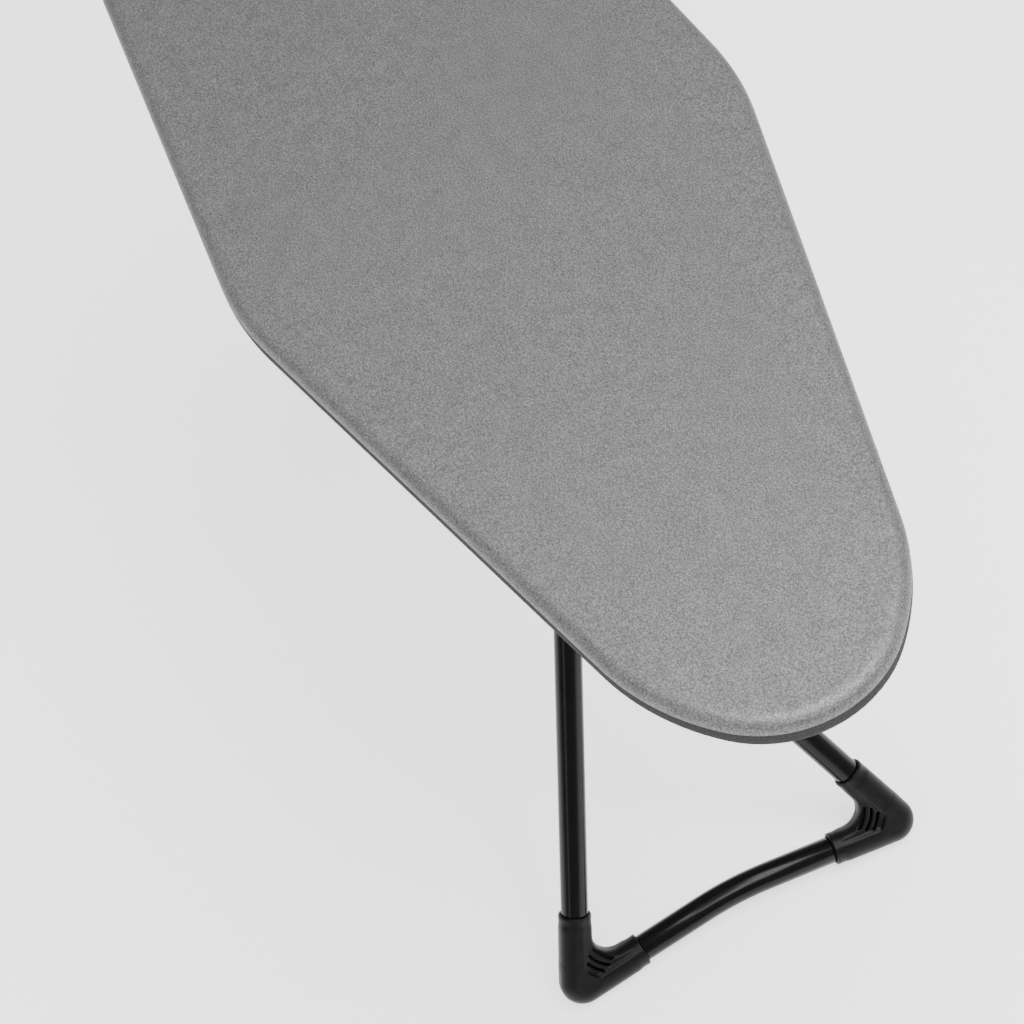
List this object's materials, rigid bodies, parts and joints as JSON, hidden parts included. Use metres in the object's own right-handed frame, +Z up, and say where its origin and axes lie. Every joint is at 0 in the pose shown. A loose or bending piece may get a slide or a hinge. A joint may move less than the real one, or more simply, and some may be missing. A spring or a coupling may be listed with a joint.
{
  "type": "ironing board",
  "caption": "Free-standing folding ironing board: padded tapered top with a rounded nose, crossed tube legs with bowed foot bars, slide bar and height brake.",
  "frame": {"origin": "centre of the standing footprint's bounding box, on the floor", "axes": "+X along the board towards its nose, +Y to the left seen from the tail, +Z up"},
  "size_m": [1.2, 0.376, 0.87],
  "materials": {
    "silver_cloth": "woven, metallised, matt sheen",
    "felt": "needled felt, matt",
    "deck_steel": "zinc-coated sheet",
    "black_paint": "gloss",
    "black_plastic": "satin",
    "grey_plastic": "satin",
    "lining_rubber": "matt",
    "zinc_steel": "zinc plated"
  },
  "bodies": {
    "board": {"axle_cap_left": "grey_plastic", "axle_cap_right": "grey_plastic", "cover": "silver_cloth", "crossmember_1": "black_paint", "crossmember_2": "black_paint", "crossmember_3": "black_paint", "crossmember_4": "black_paint", "crossmember_5": "black_paint", "crossmember_6": "black_paint", "deck": "deck_steel", "hinge_axle": "zinc_steel", "hinge_bracket_left": "zinc_steel", "hinge_bracket_right": "zinc_steel", "hinge_rivet_left": "zinc_steel", "hinge_rivet_right": "zinc_steel", "lever_bracket_1": "zinc_steel", "lever_bracket_2": "zinc_steel", "lever_rivet_1": "zinc_steel", "lever_rivet_2": "zinc_steel", "pad": "felt", "rail_left": "zinc_steel", "rail_right": "zinc_steel", "rail_rivet_left_1": "zinc_steel", "rail_rivet_left_2": "zinc_steel", "rail_rivet_left_3": "zinc_steel", "rail_rivet_right_1": "zinc_steel", "rail_rivet_right_2": "zinc_steel", "rail_rivet_right_3": "zinc_steel", "return_spring": "zinc_steel", "rim_tube": "black_paint"},
    "nose_leg": {"cross_bolt": "zinc_steel", "cross_nut": "zinc_steel", "cross_spacer": "grey_plastic", "cross_washer_left": "grey_plastic", "cross_washer_right": "grey_plastic", "nose_leg_elbow_left": "black_plastic", "nose_leg_elbow_right": "black_plastic", "nose_leg_foot_bar": "black_paint", "nose_leg_pivot_tube": "black_paint", "nose_leg_screw_left": "zinc_steel", "nose_leg_screw_right": "zinc_steel", "nose_leg_tube_left": "black_paint", "nose_leg_tube_right": "black_paint"},
    "tail_leg": {"glide_left": "grey_plastic", "glide_right": "grey_plastic", "slide_bar": "zinc_steel", "tail_leg_cap_left": "black_plastic", "tail_leg_cap_right": "black_plastic", "tail_leg_elbow_left": "black_plastic", "tail_leg_elbow_right": "black_plastic", "tail_leg_foot_bar": "black_paint", "tail_leg_screw_left": "zinc_steel", "tail_leg_screw_right": "zinc_steel", "tail_leg_tube_left": "black_paint", "tail_leg_tube_right": "black_paint"},
    "lever": {"lever_rod": "zinc_steel", "lever_grip": "black_plastic", "brake_plate": "zinc_steel", "brake_lining": "lining_rubber"}
  },
  "joints": [
    {"name": "nose_leg_hinge", "type": "hinge", "parent": "board", "child": "nose_leg", "pos_m": [-0.32, 0, 0.824], "axis": [0, 1, 0], "range_deg": [-52, 2.3]},
    {"name": "cross_pivot", "type": "hinge", "parent": "nose_leg", "child": "tail_leg", "pos_m": [-0.14569, 0, 0.57984], "axis": [0, 1, 0], "range_deg": [-4.8, 104.2]},
    {"name": "lever_hinge", "type": "hinge", "parent": "board", "child": "lever", "pos_m": [0.2, -0.034, 0.8366], "axis": [1, 0, 0], "range_deg": [0, 8], "stiffness_Nm_per_rad": 0.6, "springref_deg": -28.65}
  ],
  "couplings": [
    {"joint": "cross_pivot", "follows": "nose_leg_hinge", "ratio": -2}
  ]
}
